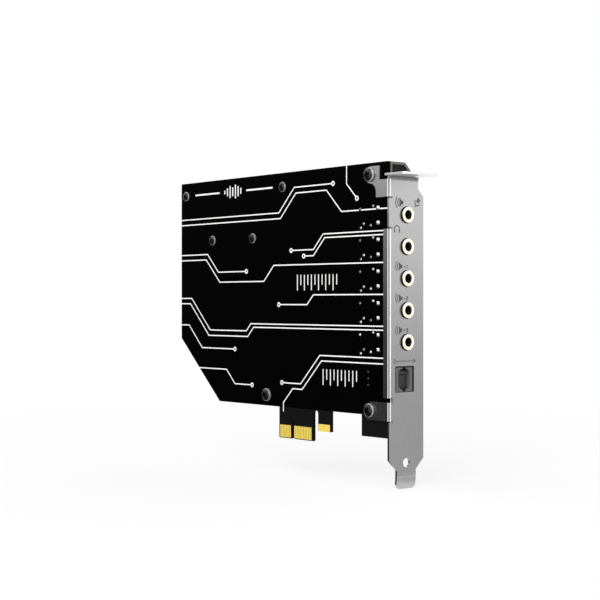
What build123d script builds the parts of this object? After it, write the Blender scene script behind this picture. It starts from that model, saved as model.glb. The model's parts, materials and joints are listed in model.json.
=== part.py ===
from build123d import *
import os

# A plug-in sound card for a computer, seen upright with its slot bracket at the +X end.
# The board lies in the XZ plane: its solder side faces -Y and its parts stand up along +Y.
# The origin is the centre of the screw notch in the bracket's flange, on the flange's underside,
# which is the face that seats on the computer's frame. All sizes are in millimetres.

os.makedirs("parts", exist_ok=True)

# Slot bracket, folded from one sheet
plate_t = 0.86
bracket_w = 18.42
bracket_h = 119.16
flange_reach = 11.43
flange_overhang = 3.17
flange_bend_r = 0.9
flange_corner_r = 1.5
notch_r = 2.21
notch_from_face = 5.6
notch_depth = 4.5
top_narrowing = 2.82
narrow_drop = 4.1
narrow_slope_drop = 2.9
tab_w = 10.19
taper_drop = 4.1
foot_h = 7.2
foot_fold_h = 5.0
foot_fold_deg = 4.0
foot_corner_r = 2.2
side_bend_r = 0.44
lower_hole_r = 1.8
lower_hole_up = 9.9

# Tabs and lip folded back along the bracket's solder-side edge, as drops from the seat
tab_below_bend = 0.06
top_tab_low = 7.66
top_tab_reach = 7.2
lip_top = 19.86
lip_low = 84.26
lip_depth = 3.2
low_tab_top = 85.96
low_tab_low = 93.06
slit_h = 0.5
slit_depth = 1.9
tab_screw_in = 10.6
top_screw_up = 1.3
low_screw_down = 89.34
lug_past_screw = 2.6
lug_to_bracket = 5.3
lug_above_screw = 3.15
lug_below_screw = 3.4
low_tab_past_screw = 1.7
low_tab_corner_r = 2.6

# Board
board_t = 1.6
board_gap = 0.89
board_length = 135.1
board_top_up = 5.94
board_below_port = 9.04
lobe_w = 14.4
lobe_drop = 8.4
chamfer_along = 28.9
chamfer_up = 27.2
tongue_drop = 12.8
key_from_end = 56.2
key_w = 1.9
key_depth = 7.8
contact_pitch = 1.0
contact_w = 0.8
contact_from_key = 1.5
tongue_margin = 1.1
near_contacts = 11
far_contacts = 7
contact_len = 5.1
contact_t = 0.05
tongue_bevel = 0.4
short_tab_gap = 3.4
gap_corner_r = 1.6
short_tab_w = 7.4
short_tab_drop = 8.4
short_pad_len = 2.9
short_pad_margin = 0.2
print_t = 0.06

# Cover over the parts
cover_h = 13.84
cover_wall = 1.2
cover_chamfer = 6.0
cover_inset = 0.3
cover_end_gap = 0.9
cover_below_port = 2.54
cover_step_w = 17.0
cover_lower_inset = 0.3
end_recess = 0.5
end_rim = 1.0
window_clear = 0.5
boss_r = 2.6

# Screws; they, their nuts, bosses and holes are drawn with a few flats in place of a full round
screw_side_count = 12
screw_clear = 0.15
m3_r = 1.5
m3_head_r = 2.6
m3_head_h = 2.0
small_screw_r = 1.25
small_head_r = 2.1
small_head_h = 1.4
head_bevel_share = 0.35
recess_span = 1.1
pilot_clear = 0.05
screw_bite = 6.0
recess_w = 0.7
recess_depth = 0.9
nut_flats = 5.5
nut_h = 2.4
screw_past_nut = 0.5
sign_from_far = 38.4
upper_screw_span = 34.15
lower_screw_span = 14.3
upper_screw_down = 5.95
lower_screw_down = 26.4
big_screw_back = 72.8
big_screw_up = 4.6

# Jacks; each sleeve's outside and what it passes through have flats, and its bore is a true round
jack_count = 5
ring_side_count = 24
jack_pitch = 12.19
jack_top_down = 14.31
jack_axis_height = 7.04
jack_body_w = 11.4
jack_body_h = 12.1
jack_body_len = 17.2
jack_top_bevel = 1.2
sleeve_r = 3.05
sleeve_bore_r = 1.775
sleeve_proud = 1.0
sleeve_len = 7.0
sleeve_clear = 0.1
bracket_hole_clear = 0.25
jack_gap = 0.1
jack_bore_depth = 13.2
pin_clear = 0.12
pin_t = 0.5
wide_pin_w = 1.0
round_pin_w = 0.6
# Places of the jack's pins: distance in from the bracket's inner face, and height above the axis
wide_pins = [(6.0, 2.7), (6.0, -3.0)]
plain_pins = [(16.1, 2.7), (8.7, 3.6), (15.6, -4.6)]
spring_pins = [(13.9, -3.1), (10.0, -3.9)]
spring_clear = 0.08
wide_joint_w = 1.75
wide_joint_l = 1.45
round_joint_r = 0.5
round_joint_side_count = 6
joint_h = 0.5

# Optical port
port_down = 77.22
port_axis_height = 5.81
port_w = 10.0
port_clear = 0.2
port_setback = 0.3
port_shoulder_gap = 0.1
port_len = 13.3
port_top_h = 10.7
mouth_w = 6.06
mouth_h = 7.93
mouth_corner_r = 1.9
mouth_depth = 0.9
mouth_notch_r = 0.65
cavity_depth = 9.6
pivot_in = 2.5
pivot_up = 2.46
barrel_r = 1.15
shutter_t = 0.8
shutter_side_gap = 0.18
shutter_foot_gap = 0.2
pin_r = 0.5
pin_run_clear = 0.05
pin_seat_clear = 0.03
emitter_w = 5.8
emitter_t = 2.2
emitter_nose_r = 1.3
emitter_nose_len = 1.4
emitter_clear = 0.1
lead_w = 0.5
lead_pitch = 2.54

# Front-panel header
header_back = 0.6
header_l = 14.2
header_h = 7.2
header_depth = 9.0
header_down = 50.0
header_clear = 0.4
header_wall = 0.8
header_floor = 1.6
header_pitch = 2.54
header_pin_w = 0.64
header_slot_w = 4.5
header_col_count = 5

# Cosine of 45 degrees, for points half way round a bend
diagonal = 0.7071

# Planes that the pieces share
top_tab_top = flange_bend_r + tab_below_bend
face_x = -notch_from_face
back_x = face_x - plate_t
edge_y = -(bracket_w - top_narrowing - notch_depth)
mid_y = edge_y + bracket_w / 2
narrow_y = edge_y + bracket_w - top_narrowing
foot_z = -bracket_h
board_y = edge_y + plate_t
parts_y = board_y + board_t
near_x = back_x - board_gap
far_x = near_x - board_length
top_z = board_top_up
port_z = -port_down
low_z = port_z - port_w / 2 - board_below_port
key_x = near_x - key_from_end
tongue_near_x = key_x + contact_from_key + (near_contacts - 1) * contact_pitch + tongue_margin
tongue_far_x = key_x - contact_from_key - (far_contacts - 1) * contact_pitch - tongue_margin
tongue_z = low_z - tongue_drop
short_far_x = tongue_near_x + short_tab_gap
short_near_x = short_far_x + short_tab_w
jack_y = parts_y + jack_axis_height
jack_zs = [-jack_top_down - i * jack_pitch for i in range(jack_count)]
jack_front_x = back_x - jack_gap
nose_x = face_x + sleeve_proud
sleeve_end_x = nose_x - sleeve_len
port_y = parts_y + port_axis_height
port_front_x = face_x - port_setback
port_rear_x = port_front_x - port_len
cavity_x = port_front_x - cavity_depth
emitter_x = port_rear_x + emitter_t
pivot = (face_x - pivot_in, port_y, port_z + pivot_up)
tab_screws = [
    (face_x - tab_screw_in, top_screw_up),
    (face_x - tab_screw_in, -low_screw_down),
]
sign_x = far_x + sign_from_far
cover_screw_places = [
    (sign_x - upper_screw_span, top_z - upper_screw_down),
    (sign_x + upper_screw_span, top_z - upper_screw_down),
    (sign_x - lower_screw_span, top_z - lower_screw_down),
    (sign_x + lower_screw_span, top_z - lower_screw_down),
]
big_screw_place = (near_x - big_screw_back, low_z + big_screw_up)
solder_side = Plane.XZ.offset(-board_y)
parts_side = Plane.XZ.offset(-parts_y)


def save(piece, name):
    """Label a finished piece and write it as a node of its own."""
    piece.label = name
    export_step(piece, f"parts/{name}.step")


def box_between(x0, x1, y0, y1, z0, z1, mode=Mode.ADD):
    """A straight block between two corners, added to or cut from the piece in hand."""
    with BuildSketch(Plane.XY.offset(z0)) as base:
        with Locations(((x0 + x1) / 2, (y0 + y1) / 2)):
            Rectangle(abs(x1 - x0), abs(y1 - y0))
    extrude(base.sketch, amount=z1 - z0, mode=mode)


def screw_form(radius, mode=Mode.ADD):
    """Section of a screw's head, shank, boss or hole, all with flats that line up."""
    RegularPolygon(radius, screw_side_count, major_radius=False, mode=mode)


def ring_form(radius, mode=Mode.ADD):
    """Section of a sleeve's outside or of a hole that it passes through."""
    RegularPolygon(radius, ring_side_count, major_radius=False, mode=mode)


def add_screws(piece, places, seat_y, head_r, head_h, shank_r, reach):
    """Cross-head screws of one piece, whose heads seat on seat_y, with their shanks along +Y."""
    seat = Plane.XZ.offset(-seat_y)
    with BuildSketch(seat) as head:
        with Locations(*places):
            screw_form(head_r)
    extrude(head.sketch, amount=head_h)
    chamfer(piece.faces().group_by(Axis.Y)[0].edges(), head_bevel_share * head_h)
    with BuildSketch(seat) as shank:
        with Locations(*places):
            screw_form(shank_r)
    extrude(shank.sketch, amount=-reach)
    with BuildSketch(seat.offset(head_h)) as cross:
        with Locations(*places):
            Rectangle(recess_span * head_r, recess_w)
            Rectangle(recess_w, recess_span * head_r)
    extrude(cross.sketch, amount=-recess_depth, mode=Mode.SUBTRACT)


def board_outline_points():
    """Corners of the board without its key notch and the gap beside its tongue."""
    return [
        (near_x, top_z),
        (near_x, low_z - lobe_drop),
        (near_x - lobe_w, low_z - lobe_drop),
        (near_x - lobe_w, low_z),
        (short_near_x, low_z),
        (short_near_x, low_z - short_tab_drop),
        (short_far_x, low_z - short_tab_drop),
        (short_far_x, low_z),
        (tongue_near_x, low_z),
        (tongue_near_x, tongue_z),
        (tongue_far_x, tongue_z),
        (tongue_far_x, low_z),
        (far_x + chamfer_along, low_z),
        (far_x, low_z + chamfer_up),
        (far_x, top_z),
    ]


# Every pin that goes through the board: jack pins first, then the optical port's leads
wide_pin_places = [(jack_front_x - d, z + up) for z in jack_zs for d, up in wide_pins]
round_pin_places = [(jack_front_x - d, z + up) for z in jack_zs for d, up in plain_pins + spring_pins]
lead_places = [((emitter_x + port_rear_x) / 2, port_z + i * lead_pitch) for i in (-1, 0, 1)]

# Circuit board: outline with tongue, key notch, short tab and lobe, drilled for what passes through
with BuildPart() as circuit_board:
    with BuildSketch(solder_side):
        with BuildLine():
            Polyline(*board_outline_points(), close=True)
        make_face()
        with Locations((key_x, tongue_z + (key_depth - key_w / 2) / 2)):
            Rectangle(key_w, key_depth - key_w / 2, mode=Mode.SUBTRACT)
        with Locations((key_x, tongue_z + key_depth - key_w / 2)):
            Circle(key_w / 2, mode=Mode.SUBTRACT)
        with Locations(*tab_screws, big_screw_place):
            screw_form(m3_r + screw_clear, Mode.SUBTRACT)
        with Locations(*cover_screw_places):
            screw_form(small_screw_r + screw_clear, Mode.SUBTRACT)
        with Locations(*wide_pin_places):
            Rectangle(wide_pin_w + 2 * pin_clear, pin_t + 2 * pin_clear, mode=Mode.SUBTRACT)
        with Locations(*round_pin_places):
            Rectangle(round_pin_w + 2 * pin_clear, pin_t + 2 * pin_clear, mode=Mode.SUBTRACT)
        with Locations(*lead_places):
            Rectangle(lead_w + 2 * pin_clear, lead_w + 2 * pin_clear, mode=Mode.SUBTRACT)
    extrude(amount=-board_t)
    tongue_edges = circuit_board.edges().filter_by(Axis.X).group_by(Axis.Z)[0]
    chamfer(tongue_edges, tongue_bevel)
    gap_corners = (
        circuit_board.edges()
        .filter_by(Axis.Y)
        .filter_by_position(Axis.X, tongue_near_x - 0.01, short_far_x + 0.01)
        .group_by(Axis.Z)[-1]
    )
    fillet(gap_corners, gap_corner_r)
save(circuit_board.part, "circuit_board")


def contact_row(outward):
    """Gold contacts of one side of the board, on the face where outward is +1 or -1 along Y."""
    face_y = board_y if outward < 0 else parts_y
    pad_z = tongue_z + tongue_bevel + contact_len / 2
    near_row = [key_x + contact_from_key + i * contact_pitch for i in range(near_contacts)]
    far_row = [key_x - contact_from_key - i * contact_pitch for i in range(far_contacts)]
    with BuildSketch(Plane.XZ.offset(-face_y)) as pads:
        with Locations(*[(x, pad_z) for x in near_row + far_row]):
            Rectangle(contact_w, contact_len)
        with Locations(((short_near_x + short_far_x) / 2, low_z - short_tab_drop + short_pad_len / 2)):
            Rectangle(short_tab_w - 2 * short_pad_margin, short_pad_len)
    extrude(pads.sketch, amount=-outward * contact_t)


with BuildPart() as contacts_solder_side:
    contact_row(-1)
save(contacts_solder_side.part, "edge_contacts_solder_side")

with BuildPart() as contacts_parts_side:
    contact_row(1)
save(contacts_parts_side.part, "edge_contacts_parts_side")

# Slot bracket: face, flange, two screw tabs and a side lip, all folded from one sheet
foot_y0 = mid_y - tab_w / 2
foot_y1 = mid_y + tab_w / 2
taper_z = foot_z + foot_h + taper_drop
fold_z = foot_z + foot_fold_h
tab_tip = tab_screws[1][0] - low_tab_past_screw
fold_line = Plane(origin=(face_x, mid_y, fold_z), x_dir=(0, 1, 0), z_dir=(1, 0, 0))
foot_plane = fold_line.rotated((0, foot_fold_deg, 0))
bend_x = face_x + flange_bend_r
bend_mid = (face_x + flange_bend_r * (1 - diagonal), -flange_bend_r * (1 - diagonal))
outer_bend_r = flange_bend_r + plate_t
outer_bend_mid = (bend_x - outer_bend_r * diagonal, -flange_bend_r + outer_bend_r * diagonal)

with BuildPart() as bracket:
    with BuildSketch(Plane.YZ.offset(face_x)):
        with BuildLine():
            Polyline(
                (edge_y, -flange_bend_r),
                (edge_y, taper_z),
                (foot_y0, foot_z + foot_h),
                (foot_y0, fold_z),
                (foot_y1, fold_z),
                (foot_y1, foot_z + foot_h),
                (edge_y + bracket_w, taper_z),
                (edge_y + bracket_w, -narrow_drop - narrow_slope_drop),
                (narrow_y, -narrow_drop),
                (narrow_y, -flange_bend_r),
                close=True,
            )
        make_face()
        for z in jack_zs:
            with Locations((jack_y, z)):
                ring_form(sleeve_r + bracket_hole_clear, Mode.SUBTRACT)
        with Locations((port_y, port_z)):
            Rectangle(port_w, port_w, mode=Mode.SUBTRACT)
        with Locations((mid_y, foot_z + lower_hole_up)):
            Circle(lower_hole_r, mode=Mode.SUBTRACT)
    extrude(amount=-plate_t)
    # Foot below the fold line, leaning inwards a little so that it slips behind the frame
    with BuildSketch(foot_plane):
        with Locations((0, -foot_fold_h / 2)):
            Rectangle(tab_w, foot_fold_h)
    extrude(amount=-plate_t)
    foot_corners = bracket.edges().filter_by(lambda e: e.length < 1.2 * plate_t).group_by(Axis.Z)[0]
    fillet(foot_corners, foot_corner_r)
    # Tabs and lip lie flat on the board's solder side
    with BuildSketch(Plane.XZ.offset(-edge_y)):
        with BuildLine():
            top_x, top_screw_z = tab_screws[0]
            neck_x = face_x - top_tab_reach
            lug_x = top_x - lug_past_screw
            neck_low = (neck_x, -top_tab_low + (top_tab_low - lug_below_screw) / 2)
            lug_low = (top_x, top_screw_z - lug_below_screw)
            neck = Line((neck_x, -top_tab_low), neck_low)
            bow = TangentArc(neck @ 1, lug_low, tangent=(0, 1))
            side = ThreePointArc(bow @ 1, (lug_x, top_screw_z), (top_x, top_screw_z + lug_above_screw))
            Polyline(
                side @ 1,
                (face_x - lug_to_bracket, top_screw_z + lug_above_screw),
                (face_x - lug_to_bracket, -top_tab_top),
                (face_x, -top_tab_top),
                (face_x, -top_tab_low),
                neck @ 0,
            )
        make_face()
        with Locations((face_x - lip_depth / 2, -(lip_top + lip_low) / 2)):
            Rectangle(lip_depth, lip_low - lip_top)
        with Locations(tab_screws[0]):
            screw_form(m3_r + screw_clear, Mode.SUBTRACT)
    extrude(amount=-plate_t)
    with BuildSketch(Plane.XZ.offset(-edge_y)):
        with Locations(((face_x + tab_tip) / 2, -(low_tab_top + low_tab_low) / 2)):
            Rectangle(face_x - tab_tip, low_tab_low - low_tab_top)
        fillet(vertices().sort_by(Axis.X)[:2].sort_by(Axis.Z)[0], low_tab_corner_r)
        with Locations(tab_screws[1]):
            screw_form(m3_r + screw_clear, Mode.SUBTRACT)
    extrude(amount=-plate_t)
    # Relief slits where the folds end
    for z0, z1 in (
        (-top_tab_low - slit_h, -top_tab_low),
        (-lip_top, -lip_top + slit_h),
        (-low_tab_top, -lip_low),
        (-low_tab_low - slit_h, -low_tab_low),
    ):
        box_between(back_x, face_x, edge_y, edge_y + slit_depth, z0, z1, Mode.SUBTRACT)
    outer_folds = (
        bracket.edges()
        .filter_by(Axis.Z)
        .filter_by_position(Axis.X, face_x - 0.01, face_x + 0.01)
        .filter_by_position(Axis.Y, edge_y - 0.01, edge_y + 0.01)
        .filter_by_position(Axis.Z, -low_tab_low - 0.01, -top_tab_top + 0.01)
    )
    outer_folds = outer_folds.filter_by(lambda e: not -lip_top < e.center().Z < -top_tab_low - slit_h)
    fillet(outer_folds, side_bend_r + plate_t)
    inner_folds = (
        bracket.edges()
        .filter_by(Axis.Z)
        .filter_by_position(Axis.X, back_x - 0.01, back_x + 0.01)
        .filter_by_position(Axis.Y, board_y - 0.01, board_y + 0.01)
    )
    fillet(inner_folds, side_bend_r)
    # Bend at the top of the face, over the face's width
    with BuildSketch(Plane.XZ.offset(-edge_y)):
        with BuildLine():
            under = ThreePointArc((face_x, -flange_bend_r), bend_mid, (bend_x, 0))
            over = ThreePointArc((bend_x, plate_t), outer_bend_mid, (back_x, -flange_bend_r))
            Line(under @ 1, over @ 0)
            Line(over @ 1, under @ 0)
        make_face()
    extrude(amount=edge_y - narrow_y)
    # Flange, bent outwards, wider than the face, with its screw notch open to the parts side
    with BuildSketch(Plane.XY):
        with Locations(((bend_x + face_x + flange_reach) / 2, (edge_y - flange_overhang + narrow_y) / 2)):
            Rectangle(flange_reach - flange_bend_r, narrow_y - edge_y + flange_overhang)
        fillet(vertices().group_by(Axis.X)[-1], flange_corner_r)
        Circle(notch_r, mode=Mode.SUBTRACT)
        with Locations((0, notch_depth)):
            Rectangle(2 * notch_r, 2 * notch_depth, mode=Mode.SUBTRACT)
    extrude(amount=plate_t)
save(bracket.part, "bracket")


# White line print on the solder side: traces that turn by 45 degrees and end in ring pads
line_w = 0.48
pad_ring_r = 1.0
pad_hole_r = 0.5
pad_side_count = 10
edge_margin = 0.3
keep_clear = 0.45
sign_bar_l = 18.0
sign_bar_from_centre = 9.5
sign_down = 5.7
sign_bar_w = 0.7
level_pitch = 1.9
level_heights = [1.6, 3.4, 5.2, 3.8, 6.0, 4.4, 2.6]
dash_pitch = 2.2
dash_h = 6.4
dash_low_h = 4.2
print_overrun = 5.0
across = board_length + print_overrun
jack_down = [top_z - z for z in jack_zs]
# Each trace is a list of places measured from the far end and down from the top edge;
# a trace whose last value is True ends in a ring pad
traces = [
    ([(-1, 16.5), (70, 16.5), (80, 6.5), (104, 6.5)], True),
    ([(-1, 18.9), (71, 18.9), (81, 8.9), (100, 8.9), (109, 17.9), (across, 17.9)], False),
    ([(-1, 32.5), (20, 32.5), (28, 40.5), (48, 40.5)], True),
    ([(-1, 34.9), (19, 34.9), (29, 44.9), (60, 44.9), (66.6, 38.3), (across, jack_down[1] + 6.1)], False),
    ([(112, -1), (112, 7.2), (118, 13.2)], True),
    ([(-1, 52), (8, 52), (22, 66), (48, 66), (51.1, 62.9), (across, jack_down[3] + 6.1)], False),
    ([(-1, 54.4), (7, 54.4), (21, 68.4), (49, 68.4), (53, 64.4), (across, jack_down[3] + 7.6)], False),
    ([(-1, 64), (6, 64), (16, 74), (40, 74)], True),
    ([(-1, 83), (34, 83), (40, 89), (52, 89)], True),
    ([(across, jack_down[4] + 6.1), (96, jack_down[4] + 6.1), (84, 87.1), (72, 87.1)], True),
    ([(across, 77.3), (97, 77.3), (85, 89.3), (79, 89.3), (73, 95.3), (73, 99)], False),
    ([(across, jack_down[0] + 6.1), (98, jack_down[0] + 6.1), (92, 32.4), (78, 32.4)], True),
    ([(across, jack_down[0] + 7.6), (99, jack_down[0] + 7.6), (92, 34.9), (86, 34.9)], True),
    ([(across, jack_down[2] + 6.1), (92, jack_down[2] + 6.1), (88, 54.7), (70, 54.7)], True),
]
dash_rows = [(82, 42.5), (98, 80.5)]
dash_counts = [12, 10]

with BuildPart() as board_print:
    with BuildSketch(solder_side) as ink:
        for route, ends_in_pad in traces:
            places = [(far_x + along, top_z - down) for along, down in route]
            with BuildLine(mode=Mode.PRIVATE) as path:
                Polyline(*places)
            trace(path.line, line_width=line_w)
            if ends_in_pad:
                with Locations(places[-1]):
                    RegularPolygon(pad_ring_r, pad_side_count)
                    RegularPolygon(pad_hole_r, pad_side_count, mode=Mode.SUBTRACT)
        for side in (-1, 1):
            with Locations((sign_x + side * (sign_bar_from_centre + sign_bar_l / 2), top_z - sign_down)):
                Rectangle(sign_bar_l, sign_bar_w)
        for i, height in enumerate(level_heights):
            with Locations((sign_x + (i - (len(level_heights) - 1) / 2) * level_pitch, top_z - sign_down)):
                Rectangle(sign_bar_w, height)
        for (along, down), dash_count in zip(dash_rows, dash_counts):
            for i in range(dash_count):
                dash = dash_h if i % 2 == 0 else dash_low_h
                with Locations((far_x + along + i * dash_pitch, top_z - down - dash / 2)):
                    Rectangle(line_w, dash)
        with Locations(*tab_screws, big_screw_place):
            screw_form(m3_head_r + keep_clear, Mode.SUBTRACT)
        with Locations(*cover_screw_places):
            screw_form(small_head_r + keep_clear, Mode.SUBTRACT)
        with Locations(*wide_pin_places):
            Rectangle(wide_joint_w + keep_clear, wide_joint_l + keep_clear, mode=Mode.SUBTRACT)
        with Locations(*round_pin_places, *lead_places):
            RegularPolygon(round_joint_r + keep_clear, round_joint_side_count, mode=Mode.SUBTRACT)
        with Locations((face_x, -(lip_top + lip_low) / 2)):
            Rectangle(2 * (lip_depth + keep_clear), lip_low - lip_top + 2 * keep_clear, mode=Mode.SUBTRACT)
        with BuildLine():
            Polyline(*board_outline_points(), close=True)
        make_face(mode=Mode.INTERSECT)
    extrude(amount=print_t)
save(board_print.part, "board_print")

# Solder joints of every pin, on the board's solder side
with BuildPart() as solder_joints:
    with BuildSketch(solder_side):
        with Locations(*wide_pin_places):
            Rectangle(wide_joint_w, wide_joint_l)
        with Locations(*round_pin_places, *lead_places):
            RegularPolygon(round_joint_r, round_joint_side_count)
    extrude(amount=joint_h)
save(solder_joints.part, "solder_joints")

# Screws and nuts
with BuildPart() as bracket_screws:
    reach = plate_t + board_t + nut_h + screw_past_nut
    add_screws(bracket_screws, tab_screws, edge_y, m3_head_r, m3_head_h, m3_r, reach)
save(bracket_screws.part, "bracket_screws")

with BuildPart() as bracket_nuts:
    with BuildSketch(parts_side):
        with Locations(*tab_screws):
            RegularPolygon(nut_flats / 2, 6, major_radius=False)
            screw_form(m3_r + pilot_clear, Mode.SUBTRACT)
    extrude(amount=-nut_h)
save(bracket_nuts.part, "bracket_nuts")

with BuildPart() as cover_screws:
    reach = board_t + screw_bite
    add_screws(cover_screws, cover_screw_places, board_y, small_head_r, small_head_h, small_screw_r, reach)
save(cover_screws.part, "cover_screws")

with BuildPart() as lower_cover_screw:
    add_screws(lower_cover_screw, [big_screw_place], board_y, m3_head_r, m3_head_h, m3_r, reach)
save(lower_cover_screw.part, "lower_cover_screw")

# Cover: a shell with sloped edges that stands on the board's parts side
cover_near_x = back_x - cover_end_gap
cover_low_z = low_z + cover_lower_inset
cover_step_z = port_z - port_w / 2 - cover_below_port
cover_y = parts_y + cover_h
header_x = far_x + header_back
header_z = top_z - header_down

with BuildPart() as cover_form:
    with BuildSketch(parts_side):
        with BuildLine():
            Polyline(
                (cover_near_x, top_z),
                (cover_near_x, cover_step_z),
                (cover_near_x - cover_step_w, cover_step_z),
                (cover_near_x - cover_step_w - (cover_step_z - cover_low_z), cover_low_z),
                (far_x + chamfer_along, cover_low_z),
                (far_x + cover_inset, low_z + chamfer_up),
                (far_x + cover_inset, top_z),
                close=True,
            )
        make_face()
    extrude(amount=-cover_h)
    outer_face = cover_form.faces().sort_by(Axis.Y)[-1]
    # The end at the bracket and the step above the lobe stay square
    step_far_x = cover_near_x - cover_step_w - (cover_step_z - cover_low_z)
    sloped = outer_face.edges().filter_by(
        lambda e: e.center().X < step_far_x or e.center().Z > top_z - 0.01
    )
    chamfer(sloped, cover_chamfer)

with BuildPart() as cover:
    add(cover_form.part)
    offset(amount=-cover_wall, openings=cover.faces().sort_by(Axis.Y)[0])
    with BuildSketch(parts_side):
        with Locations(*cover_screw_places, big_screw_place):
            screw_form(boss_r)
    extrude(amount=-cover_h)
    add(cover_form.part, mode=Mode.INTERSECT)
    with BuildSketch(parts_side):
        with Locations(*cover_screw_places):
            screw_form(small_screw_r + pilot_clear)
        with Locations(big_screw_place):
            screw_form(m3_r + pilot_clear)
    extrude(amount=-(screw_bite + window_clear), mode=Mode.SUBTRACT)
    # Window in the end wall for the jacks and the optical port
    window_z = jack_zs[0] + jack_body_w / 2 + window_clear
    box_between(
        cover_near_x - cover_wall,
        cover_near_x,
        parts_y,
        parts_y + jack_body_h + window_clear,
        cover_step_z + cover_wall,
        window_z,
        Mode.SUBTRACT,
    )
    # Shallow recess that leaves a rim round the end above the jacks
    with BuildSketch(Plane.YZ.offset(cover_near_x)):
        with BuildLine():
            Polyline(
                (parts_y + end_rim, top_z - end_rim),
                (cover_y - cover_chamfer - end_rim / 2, top_z - end_rim),
                (cover_y - end_rim, top_z - cover_chamfer - end_rim / 2),
                (cover_y - end_rim, window_z + end_rim),
                (parts_y + end_rim, window_z + end_rim),
                close=True,
            )
        make_face()
    extrude(amount=-end_recess, mode=Mode.SUBTRACT)
    # Window in the far wall for the front-panel header
    box_between(
        far_x + cover_inset,
        far_x + cover_inset + cover_wall,
        parts_y,
        parts_y + header_h + header_clear,
        header_z - header_l / 2 - header_clear,
        header_z + header_l / 2 + header_clear,
        Mode.SUBTRACT,
    )
save(cover.part, "cover")

# Jacks: housing, gold sleeve and terminals of each
for number, z in enumerate(jack_zs, start=1):
    with BuildPart() as jack_housing:
        with BuildSketch(Plane.YZ.offset(jack_front_x)):
            with Locations((parts_y + jack_body_h / 2, z)):
                Rectangle(jack_body_h, jack_body_w)
        extrude(amount=-jack_body_len)
        top_edges = jack_housing.faces().sort_by(Axis.Y)[-1].edges().filter_by(Axis.X)
        chamfer(top_edges, jack_top_bevel)
        with BuildSketch(Plane.YZ.offset(jack_front_x)):
            with Locations((jack_y, z)):
                ring_form(sleeve_r + sleeve_clear)
        extrude(amount=-jack_bore_depth, mode=Mode.SUBTRACT)
        for d, up in spring_pins:
            x = jack_front_x - d
            box_between(
                x - round_pin_w / 2 - pin_clear,
                x + round_pin_w / 2 + pin_clear,
                parts_y,
                jack_y + pin_t + pin_clear,
                z + up - pin_t / 2 - pin_clear,
                z,
                Mode.SUBTRACT,
            )
    save(jack_housing.part, f"jack_{number}_housing")

    with BuildPart() as jack_sleeve:
        with BuildSketch(Plane.YZ.offset(nose_x)):
            with Locations((jack_y, z)):
                ring_form(sleeve_r)
                Circle(sleeve_bore_r, mode=Mode.SUBTRACT)
        extrude(amount=-sleeve_len)
    save(jack_sleeve.part, f"jack_{number}_sleeve")

    with BuildPart() as jack_terminals:
        with BuildSketch(solder_side):
            with Locations(*[(jack_front_x - d, z + up) for d, up in wide_pins]):
                Rectangle(wide_pin_w, pin_t)
            with Locations(*[(jack_front_x - d, z + up) for d, up in plain_pins]):
                Rectangle(round_pin_w, pin_t)
        extrude(amount=-board_t)
        for d, up in spring_pins:
            x0 = jack_front_x - d - round_pin_w / 2
            x1 = x0 + round_pin_w
            z_leaf = z + up - pin_t / 2
            bump_z = z - sleeve_bore_r - spring_clear
            box_between(x0, x1, board_y, jack_y + pin_t, z_leaf, z_leaf + pin_t)
            box_between(x0, x1, jack_y - pin_t, jack_y + pin_t, z_leaf, bump_z)
    save(jack_terminals.part, f"jack_{number}_terminals")

# Optical port: housing with mouth, cavity and pin seats; pivoting shutter on a steel pin; emitter
with BuildPart() as port_housing:
    nose_w = port_w - 2 * port_clear
    with BuildSketch(Plane.YZ.offset(port_front_x)):
        with Locations((port_y, port_z)):
            Rectangle(nose_w, nose_w)
    extrude(amount=-(port_front_x - back_x + port_shoulder_gap))
    with BuildSketch(Plane.YZ.offset(back_x - port_shoulder_gap)):
        with Locations((parts_y + port_top_h / 2, port_z)):
            Rectangle(port_top_h, nose_w)
    extrude(amount=-(back_x - port_shoulder_gap - port_rear_x))
    with BuildSketch(Plane.YZ.offset(port_front_x)):
        with Locations((port_y, port_z)):
            RectangleRounded(mouth_w, mouth_h, mouth_corner_r)
    extrude(amount=-mouth_depth, mode=Mode.SUBTRACT)
    with BuildSketch(Plane.YZ.offset(port_front_x)):
        with Locations((port_y, port_z + mouth_h / 2), (port_y, port_z - mouth_h / 2)):
            Circle(mouth_notch_r)
    extrude(amount=-mouth_depth, mode=Mode.SUBTRACT)
    with BuildSketch(Plane.YZ.offset(port_front_x - mouth_depth)):
        with Locations((port_y, port_z)):
            Rectangle(mouth_w, mouth_h)
    extrude(amount=-(cavity_depth - mouth_depth), mode=Mode.SUBTRACT)
    with BuildSketch(Plane.YZ.offset(cavity_x)):
        with Locations((port_y, port_z)):
            Circle(emitter_nose_r + emitter_clear)
    extrude(amount=-(cavity_x - emitter_x), mode=Mode.SUBTRACT)
    pocket = emitter_w / 2 + emitter_clear
    box_between(
        port_rear_x,
        emitter_x + emitter_clear,
        parts_y,
        port_y + pocket,
        port_z - pocket,
        port_z + pocket,
        Mode.SUBTRACT,
    )
    with BuildSketch(Plane.XZ.offset(-(parts_y + port_top_h))):
        with Locations((pivot[0], pivot[2])):
            Rectangle(2 * (pin_r + pin_seat_clear), 2 * (pin_r + pin_seat_clear))
    extrude(amount=port_top_h - (port_y - nose_w / 2 - parts_y), mode=Mode.SUBTRACT)
save(port_housing.part, "optical_port_housing")

pin_low_y = port_y - nose_w / 2
pin_high_y = parts_y + port_top_h
shutter_w = mouth_w - 2 * shutter_side_gap
foot_drop = pivot_up + mouth_h / 2 - shutter_foot_gap

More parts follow.
